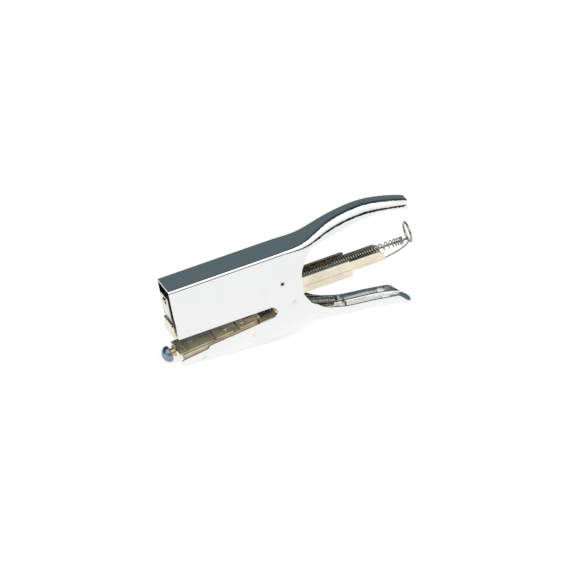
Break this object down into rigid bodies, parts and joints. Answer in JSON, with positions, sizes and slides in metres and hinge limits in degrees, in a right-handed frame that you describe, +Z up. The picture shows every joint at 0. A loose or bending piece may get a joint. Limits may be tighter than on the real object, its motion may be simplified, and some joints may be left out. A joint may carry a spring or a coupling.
{
  "type": "plier stapler",
  "caption": "Hand-held plier stapler: a pressed shell with a handle, a swinging magazine, a clinching lower jaw and a sprung lower handle.",
  "frame": {"origin": "centre of the bounding box in plan, on the surface that the tool stands on", "axes": "+X from the nose to the handles, +Y across the tool, +Z up"},
  "size_m": [0.1704, 0.0224, 0.0766],
  "materials": {
    "chrome_shell": "polished chrome plating",
    "bright_pins": "bright turned steel",
    "nickel_plate": "warm nickel plating over pressed steel",
    "small_rivets": "peened rivet heads",
    "knob_steel": "blue-grey turned steel",
    "brass_neck": "plain brass",
    "rod_steel": "bright drawn wire",
    "spring_wire": "oiled spring wire",
    "staple_wire": "galvanised staple wire",
    "blade_steel": "hardened flat steel"
  },
  "bodies": {
    "casing": {"casing": "chrome_shell", "handle_pivot_pin": "bright_pins", "magazine_pivot_pin": "bright_pins", "jaw_rivets": "bright_pins", "anvil_arm": "nickel_plate", "bed_plate": "nickel_plate", "cover_plate": "nickel_plate", "guide_plate": "nickel_plate", "plate_rivets": "small_rivets", "knob_spring": "spring_wire"},
    "handle": {"lower_handle": "chrome_shell", "drive_lever": "nickel_plate", "drive_tongue": "nickel_plate", "lever_rivets": "bright_pins", "return_spring": "spring_wire"},
    "magazine": {"magazine_channel": "nickel_plate", "magazine_core": "nickel_plate", "core_rivets": "small_rivets", "magazine_front_plate": "nickel_plate", "staple_strip": "staple_wire"},
    "driver": {"driver_blade": "blade_steel"},
    "pusher": {"pusher_rod": "rod_steel", "follower": "nickel_plate", "latch_wire": "rod_steel", "stop_washer": "rod_steel", "pusher_spring": "spring_wire"},
    "clinch_slide": {"anvil_plate": "nickel_plate", "anvil_rivet": "small_rivets", "knob": "knob_steel", "knob_collar": "brass_neck", "knob_rod": "rod_steel"}
  },
  "joints": [
    {"name": "handle_swing", "type": "hinge", "parent": "casing", "child": "handle", "pos_m": [0.00144, 0, 0.02479], "axis": [0, -1, 0], "range_deg": [0, 14], "stiffness_Nm_per_rad": 1, "springref_deg": -28.65, "deforming": ["return_spring"]},
    {"name": "magazine_swing", "type": "hinge", "parent": "casing", "child": "magazine", "pos_m": [-0.00508, 0, 0.03957], "axis": [0, -1, 0], "range_deg": [0, 7.52]},
    {"name": "driver_slide", "type": "slide", "parent": "magazine", "child": "driver", "axis": [0.088, 0, -0.9961], "range_m": [0, 0.01022]},
    {"name": "pusher_pull", "type": "slide", "parent": "magazine", "child": "pusher", "axis": [0.9961, 0, 0.088], "range_m": [0, 0.08]},
    {"name": "clinch_select", "type": "slide", "parent": "casing", "child": "clinch_slide", "axis": [-0.9844, 0, -0.1762], "range_m": [0, 0.004], "stiffness_N_per_m": 400, "springref_m": -0.005, "deforming": ["knob_spring"]}
  ],
  "couplings": [
    {"joint": "magazine_swing", "follows": "handle_swing", "ratio": 0.53571},
    {"joint": "driver_slide", "follows": "handle_swing", "m_per_rad": 0.041744}
  ]
}
